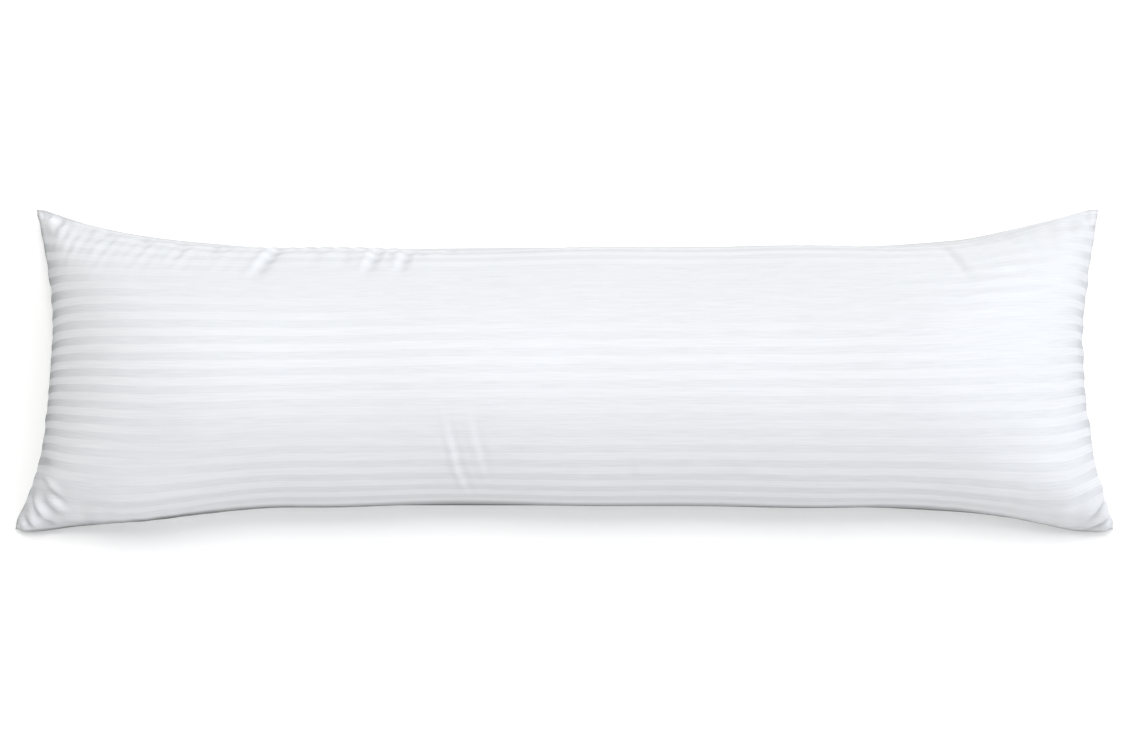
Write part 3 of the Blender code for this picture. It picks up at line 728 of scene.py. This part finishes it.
def add_node(tree, kind, settings=None, inputs=None, links=None, into=None):
    """Add a node with its settings, input values and links.

    Inputs go by name or by number, and into is the output node that a shader is linked to.
    """
    node = tree.nodes.new(kind)
    for name, value in (settings or {}).items():
        setattr(node, name, value)
    for name, value in (inputs or {}).items():
        node.inputs[name].default_value = value
    for name, source in (links or {}).items():
        tree.links.new(source, node.inputs[name])
    if into is not None:
        tree.links.new(node.outputs["BSDF"], into.inputs["Surface"])
    return node


def new_material(name):
    """An empty node material with its output, ready for a shader."""
    material = bpy.data.materials.new(name)
    material.use_nodes = True
    material.node_tree.nodes.clear()
    output = add_node(material.node_tree, "ShaderNodeOutputMaterial")
    return material, material.node_tree, output


def woven_material(name, light, dark, roughness, specular, lift, grain_mm, streak):
    """One kind of stripe of the cotton.

    Real threads lie about 0.2 mm apart, too fine to show, so the grain is drawn at least ten
    times as coarse.  grain_mm is its size along and across the cloth in millimetres, and
    streak the height of its relief in metres.  lift is the share of its brightness that is
    painted on as light where the painted stripe light is 1, or taken off if it is below zero.
    """
    material, tree, output = new_material(name)
    place = add_node(tree, "ShaderNodeUVMap", {"uv_map": CLOTH_MAP})
    grain_scale = (1000.0 / grain_mm[0], 1000.0 / grain_mm[1], 1.0)
    grain_place = add_node(tree, "ShaderNodeMapping", inputs={"Scale": grain_scale},
                           links={"Vector": place.outputs["UV"]})
    grain = add_node(tree, "ShaderNodeTexNoise", {"noise_dimensions": "2D"},
                     {"Scale": 1.0, "Detail": GRAIN_DETAIL, "Roughness": GRAIN_ROUGHNESS},
                     {"Vector": grain_place.outputs["Vector"]})
    tint = add_node(tree, "ShaderNodeMix", {"data_type": "RGBA"},
                    {MIX_FIRST: dark, MIX_SECOND: light}, {"Factor": grain.outputs["Fac"]})
    # Painted light and shade: the colour is raised or lowered by the painted light on the
    # stripes, and darkened by the painted shade beside the seams and in troughs.
    painted_stripe_light_map = add_node(tree, "ShaderNodeAttribute", {"attribute_name": PAINTED_STRIPE_LIGHT})
    lifted = add_node(tree, "ShaderNodeMath", {"operation": "MULTIPLY_ADD"},
                      {1: lift, 2: 1.0}, {0: painted_stripe_light_map.outputs["Fac"]})
    left = add_node(tree, "ShaderNodeAttribute", {"attribute_name": PAINTED_SEAM_SHADE})
    gain = add_node(tree, "ShaderNodeMath", {"operation": "MULTIPLY"},
                    links={0: lifted.outputs[0], 1: left.outputs["Fac"]})
    shaded = add_node(tree, "ShaderNodeVectorMath", {"operation": "SCALE"},
                      links={"Vector": tint.outputs[MIXED], "Scale": gain.outputs[0]})
    bump = add_node(tree, "ShaderNodeBump",
                    inputs={"Strength": GRAIN_RELIEF, "Distance": streak},
                    links={"Height": grain.outputs["Fac"]})
    add_node(tree, "ShaderNodeBsdfPrincipled",
             inputs={"Roughness": roughness, "Specular IOR Level": specular},
             links={"Base Color": shaded.outputs["Vector"], "Normal": bump.outputs["Normal"]},
             into=output)
    return material


def satin_stripe(light, dark):
    """Satin weave: long warp floats lie side by side, so it is smooth and catches the light."""
    return woven_material("satin_woven_cotton", light, dark, roughness=0.40, specular=1.0,
                          lift=-0.03, grain_mm=(60.0, 2.2), streak=0.0003)


def plain_stripe(light, dark):
    """Plain weave: threads cross at every step, so it is matt and a little darker."""
    return woven_material("plain_woven_cotton", light, dark, roughness=0.85, specular=0.0,
                          lift=0.08, grain_mm=(40.0, 2.0), streak=0.0002)


def studio_paper(tone, glow):
    """Matt white studio paper, lit a little from underneath, so that shadows on it are short."""
    material, tree, output = new_material("studio_paper")
    add_node(tree, "ShaderNodeBsdfPrincipled",
             inputs={"Base Color": tone, "Roughness": 0.9, "Specular IOR Level": 0.0,
                     "Emission Color": tone, "Emission Strength": glow},
             into=output)
    return material


# ----------------------------------
# Settings
# ----------------------------------

def length_setting(name, description, default, least):
    """A length in metres that is no less than the least."""
    return FloatProperty(name=name, description=description, default=default, min=least,
                         unit="LENGTH")


def power_setting(name, description, default):
    """The power of a lamp in watts."""
    return FloatProperty(name=name, description=description, default=default, min=0.0,
                         unit="POWER")


def angle_setting(name, description, degrees):
    """An angle, with its default in degrees."""
    return FloatProperty(name=name, description=description, default=math.radians(degrees),
                         subtype="ANGLE", unit="ROTATION")


def colour_setting(name, description, code):
    """A colour, with its default as an sRGB hex code."""
    return FloatVectorProperty(name=name, description=description, default=colour(code),
                               size=4, min=0.0, max=1.0, subtype="COLOR")


class PillowSettings(bpy.types.PropertyGroup):
    """Sizes of the pillow, and the colours of its cloth."""

    panel_length: length_setting(
        "Panel length", "Length of one panel inside the seam, laid flat", 1.500, 0.5)
    panel_width: length_setting(
        "Panel width", "Width of one panel inside the seam, laid flat", 0.473, 0.2)
    thickness: length_setting("Thickness", "Height of the crown over the floor", 0.210, 0.05)
    stripe_repeat: length_setting(
        "Stripe repeat", "Width of one satin and one plain stripe together", 0.0223, 0.004)
    first_stripe: length_setting(
        "First plain stripe", "Middle of the first plain stripe from the seam", 0.0121, 0.0)
    stripe_splits: IntProperty(
        name="Splits", description="Rows of faces across one stripe", default=2, min=1, max=6)
    stripe_splits_at_seam: IntProperty(
        name="Splits at seam", description="Rows of faces across one stripe near a long seam",
        default=4, min=1, max=6)
    quads_along: IntProperty(
        name="Faces along", description="Faces along one panel", default=380, min=40, max=500)
    fill: FloatProperty(
        name="Fill", description="How tight the filling is", default=0.75, min=0.0, max=1.0,
        subtype="FACTOR")
    satin_light: colour_setting("Satin, light", "Lightest grain of the satin stripe", "f1f3f4")
    satin_dark: colour_setting("Satin, dark", "Darkest grain of the satin stripe", "e2e4e5")
    plain_light: colour_setting("Plain, light", "Lightest grain of the plain stripe", "eceeef")
    plain_dark: colour_setting("Plain, dark", "Darkest grain of the plain stripe", "dddfe0")


class StageSettings(bpy.types.PropertyGroup):
    """Floor, lights and camera."""

    floor_colour: colour_setting("Floor", "Colour of the paper on the floor", "fdfdfb")
    floor_glow: FloatProperty(
        name="Floor glow", description="How much the floor is lit from underneath",
        default=0.07, min=0.0)
    lamp_distance: length_setting(
        "Lamp distance", "From the middle of the pillow to each light", 5.0, 1.0)
    back_light_power: power_setting("Back light", "Power of the high soft box behind", 113.0)
    back_light_rise: angle_setting(
        "Back light rise", "Angle of the back light over the floor", 70.0)
    low_back_light_power: power_setting("Low back light", "Power of the low soft box behind", 9.6)
    low_back_light_rise: angle_setting(
        "Low back light rise", "Angle of the low back light over the floor", 25.0)
    front_light_power: power_setting("Front light", "Power of the low soft box in front", 27.4)
    front_light_rise: angle_setting(
        "Front light rise", "Angle of the front light over the floor", 10.0)
    corner_light_power: power_setting(
        "Corner light", "Power of the low soft box in front, to the left", 6.5)
    corner_light_rise: angle_setting(
        "Corner light rise", "Angle of the corner light over the floor", 15.0)
    back_card_power: power_setting(
        "Back card", "Power of the card that the satin mirrors behind, left", 38.3)
    back_card_rise: angle_setting("Back card rise", "Angle of the back card over the floor", 40.0)
    left_card_power: power_setting(
        "Left card", "Power of the card that the satin mirrors at the left end", 45.0)
    left_card_rise: angle_setting("Left card rise", "Angle of the left card over the floor", 25.0)
    front_card_power: power_setting(
        "Front card", "Power of the card that the satin mirrors at the front", 41.5)
    front_card_rise: angle_setting(
        "Front card rise", "Angle of the front card over the floor", 10.0)
    room_side: FloatProperty(
        name="Room, right side", description="Brightness of the room's right wall",
        default=1.23, min=0.0)
    room_top: FloatProperty(
        name="Room, ceiling", description="Brightness of the room's ceiling",
        default=1.31, min=0.0)
    room_left_colour: colour_setting("Room, left", "Tint of the room at the left", "fffdf8")
    room_right_colour: colour_setting("Room, right", "Tint of the room at the right", "f2f4ff")
    camera_distance: length_setting(
        "Camera distance", "From the middle of the pillow to the lens", 2.8, 1.0)
    camera_elevation: angle_setting("Camera elevation", "Angle of the view over the floor", 80.0)


# ----------------------------------
# Pillow
# ----------------------------------

def covered_mesh(settings):
    """The pillow's mesh, with its cloth map, painted shade and light, and two kinds of stripe."""
    length, width = settings.panel_length, settings.panel_width
    lines, plain = stripe_lines(width, settings.stripe_repeat, settings.first_stripe,
                                settings.stripe_splits, settings.stripe_splits_at_seam)
    steps = crowded_steps(settings.quads_along)
    v, u = np.meshgrid(lines, steps)
    upper, lower = relieved_panels(u, drifted(u, v, width), length, width, settings.thickness)
    points, faces, grid_up, grid_down = joined_panels(upper, lower)
    points[:, :2] -= 0.5 * (points[:, :2].max(axis=0) + points[:, :2].min(axis=0))
    mesh = mesh_from("striped_pillow", points, faces)

    a, b = u * length / 2.0, v * width / 2.0
    for name, values in ((PAINTED_SEAM_SHADE, seam_light(u, v, length, width)),
                         (PAINTED_STRIPE_LIGHT, bunched(a, b))):
        layer = mesh.attributes.new(name=name, type="FLOAT", domain="POINT")
        layer.data.foreach_set(
            "value", np.concatenate((values.ravel(), values[1:-1, 1:-1].ravel())))

    flat = np.stack((a, b), axis=2).reshape(-1, 2)
    under = flat - np.array((0.0, UNDERSIDE_MAP_SHIFT))
    places = np.concatenate((flat[grid_up.ravel()], under[grid_down.ravel()]))
    layer = mesh.uv_layers.new(name=CLOTH_MAP)
    layer.uv.foreach_set("vector", places.astype(np.float32).ravel())

    mesh.materials.append(satin_stripe(settings.satin_light, settings.satin_dark))
    mesh.materials.append(plain_stripe(settings.plain_light, settings.plain_dark))
    kinds = np.tile(plain, settings.quads_along)
    mesh.polygons.foreach_set("material_index", np.concatenate((kinds, kinds)))
    return mesh


class PILLOW_OT_cover(bpy.types.Operator):
    """Make the filled pillow in its striped cotton cover"""

    bl_idname = "pillow.cover"
    bl_label = "Pillow"

    def execute(self, context):
        settings = context.scene.pillow_settings
        pillow = bpy.data.objects.new("striped_pillow", covered_mesh(settings))
        context.scene.collection.objects.link(pillow)
        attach(pillow, "root")
        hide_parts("pillow")
        return {"FINISHED"}


# ----------------------------------
# Stage
# ----------------------------------

# Lights: soft boxes, which light but are not mirrored, and cards, which the cloth only mirrors.
# Columns: name, angle round the pillow from its right in degrees, and whether it is a card.
LIGHTS = (
    ("back_light", 95.0, False),
    ("low_back_light", 90.0, False),
    ("front_light", 270.0, False),
    ("corner_light", 225.0, False),
    ("back_card", 135.0, True),
    ("left_card", 180.0, True),
    ("front_card", 270.0, True),
)
SOFT_BOX_SIDE = 2.15
CARD_SIDE = 3.9
LIT_MIDDLE = Vector((0.0, 0.0, 0.1))

# The floor lies a hair under the pillow, so that the two don't share a plane, and it reaches
# past the edge of every view.
FLOOR_HALF = 30.0
FLOOR_DROP = 0.0006

# The ceiling's light falls off from straight above with this power.
ZENITH_POWER = 4.0

# What the camera looks at, and its lens and sensor in millimetres.
CAMERA_TARGET = Vector((-0.0023, -0.0207, 0.09))
LENS_MM = 64.96
SENSOR_MM = 36.0


def area_light(name, turn, rise, distance, power, mirrored):
    """A square light that faces the pillow: a soft box, or a card seen only in the gloss.

    It stands off by its distance, turned round the pillow and raised over the floor.
    """
    flat = math.cos(rise)
    away = Vector((flat * math.cos(turn), flat * math.sin(turn), math.sin(rise)))
    lamp = bpy.data.lights.new(name, "AREA")
    lamp.shape = "SQUARE"
    lamp.size = CARD_SIDE if mirrored else SOFT_BOX_SIDE
    lamp.energy = power
    light = bpy.data.objects.new(name, lamp)
    light.location = LIT_MIDDLE + away * distance
    light.rotation_euler = (-away).to_track_quat("-Z", "Y").to_euler()
    light.visible_diffuse = not mirrored
    light.visible_glossy = mirrored
    bpy.context.scene.collection.objects.link(light)


def white_room(side, top, left_colour, right_colour):
    """A white room lit from the right and from above, warm to the left and cool to the right.

    Its brightness is side times x, where x is above zero, plus top times z to a high power.
    """
    world = bpy.data.worlds.new("white_room")
    world.use_nodes = True
    tree = world.node_tree
    way = add_node(tree, "ShaderNodeTexCoord")
    parts = add_node(tree, "ShaderNodeSeparateXYZ", links={"Vector": way.outputs["Generated"]})
    right = add_node(tree, "ShaderNodeMath", {"operation": "MAXIMUM"}, {1: 0.0},
                     {0: parts.outputs["X"]})
    above = add_node(tree, "ShaderNodeMath", {"operation": "MAXIMUM"}, {1: 0.0},
                     {0: parts.outputs["Z"]})
    zenith = add_node(tree, "ShaderNodeMath", {"operation": "POWER"}, {1: ZENITH_POWER},
                      {0: above.outputs[0]})
    beside = add_node(tree, "ShaderNodeMath", {"operation": "MULTIPLY"}, {1: side},
                      {0: right.outputs[0]})
    bright = add_node(tree, "ShaderNodeMath", {"operation": "MULTIPLY_ADD"}, {1: top},
                      {0: zenith.outputs[0], 2: beside.outputs[0]})
    rightward = add_node(tree, "ShaderNodeMath", {"operation": "MULTIPLY_ADD"},
                         {1: 0.5, 2: 0.5}, {0: parts.outputs["X"]})
    tint = add_node(tree, "ShaderNodeMix", {"data_type": "RGBA"},
                    {MIX_FIRST: left_colour, MIX_SECOND: right_colour},
                    {"Factor": rightward.outputs[0]})
    background = tree.nodes["Background"]
    tree.links.new(bright.outputs[0], background.inputs["Strength"])
    tree.links.new(tint.outputs[MIXED], background.inputs["Color"])
    return world


def studio_floor(settings):
    """One large square of paper, as an object."""
    corners = np.array(((-1.0, -1.0), (1.0, -1.0), (1.0, 1.0), (-1.0, 1.0))) * FLOOR_HALF
    corners = np.column_stack((corners, np.full(4, -FLOOR_DROP)))
    mesh = mesh_from("floor", corners, np.arange(4).reshape(1, 4))
    mesh.materials.append(studio_paper(settings.floor_colour, settings.floor_glow))
    return bpy.data.objects.new("floor", mesh)


def studio_camera(settings):
    """A camera above the near side, tilted down by its elevation."""
    elevation = settings.camera_elevation
    back = Vector((0.0, -math.cos(elevation), math.sin(elevation)))
    lens = bpy.data.cameras.new("camera")
    lens.sensor_width = SENSOR_MM
    lens.lens = LENS_MM
    camera = bpy.data.objects.new("camera", lens)
    camera.location = CAMERA_TARGET + back * settings.camera_distance
    camera.rotation_euler = (-back).to_track_quat("-Z", "Y").to_euler()
    return camera


class PILLOW_OT_stage(bpy.types.Operator):
    """Make the floor, the lights and the camera"""

    bl_idname = "pillow.stage"
    bl_label = "Stage"

    def execute(self, context):
        settings = context.scene.stage_settings
        scene = context.scene
        floor = studio_floor(settings)
        scene.collection.objects.link(floor)

        for name, turn, mirrored in LIGHTS:
            rise = getattr(settings, name + "_rise")
            power = getattr(settings, name + "_power")
            area_light(name, math.radians(turn), rise, settings.lamp_distance, power, mirrored)

        scene.world = white_room(settings.room_side, settings.room_top,
                                 settings.room_left_colour, settings.room_right_colour)
        scene.view_settings.view_transform = "Standard"

        camera = studio_camera(settings)
        scene.collection.objects.link(camera)
        scene.camera = camera
        return {"FINISHED"}


# ----------------------------------
# Panel and registration
# ----------------------------------

class PILLOW_PT_panel(bpy.types.Panel):
    """The pillow's settings in the sidebar"""

    bl_label = "Body pillow"
    bl_space_type = "VIEW_3D"
    bl_region_type = "UI"
    bl_category = "Pillow"

    def draw(self, context):
        for group, button in (("pillow_settings", "pillow.cover"),
                              ("stage_settings", "pillow.stage")):
            settings = getattr(context.scene, group)
            box = self.layout.box()
            for name in settings.__annotations__:
                box.prop(settings, name)
            box.operator(button)


CLASSES = (PillowSettings, StageSettings, PILLOW_OT_cover, PILLOW_OT_stage, PILLOW_PT_panel)


def register():
    for item in CLASSES:
        bpy.utils.register_class(item)
    bpy.types.Scene.pillow_settings = PointerProperty(type=PillowSettings)
    bpy.types.Scene.stage_settings = PointerProperty(type=StageSettings)


def unregister():
    del bpy.types.Scene.stage_settings
    del bpy.types.Scene.pillow_settings
    for item in reversed(CLASSES):
        bpy.utils.unregister_class(item)


def main():
    register()
    bpy.ops.pillow.cover()
    bpy.ops.pillow.stage()


if __name__ == "__main__":
    main()
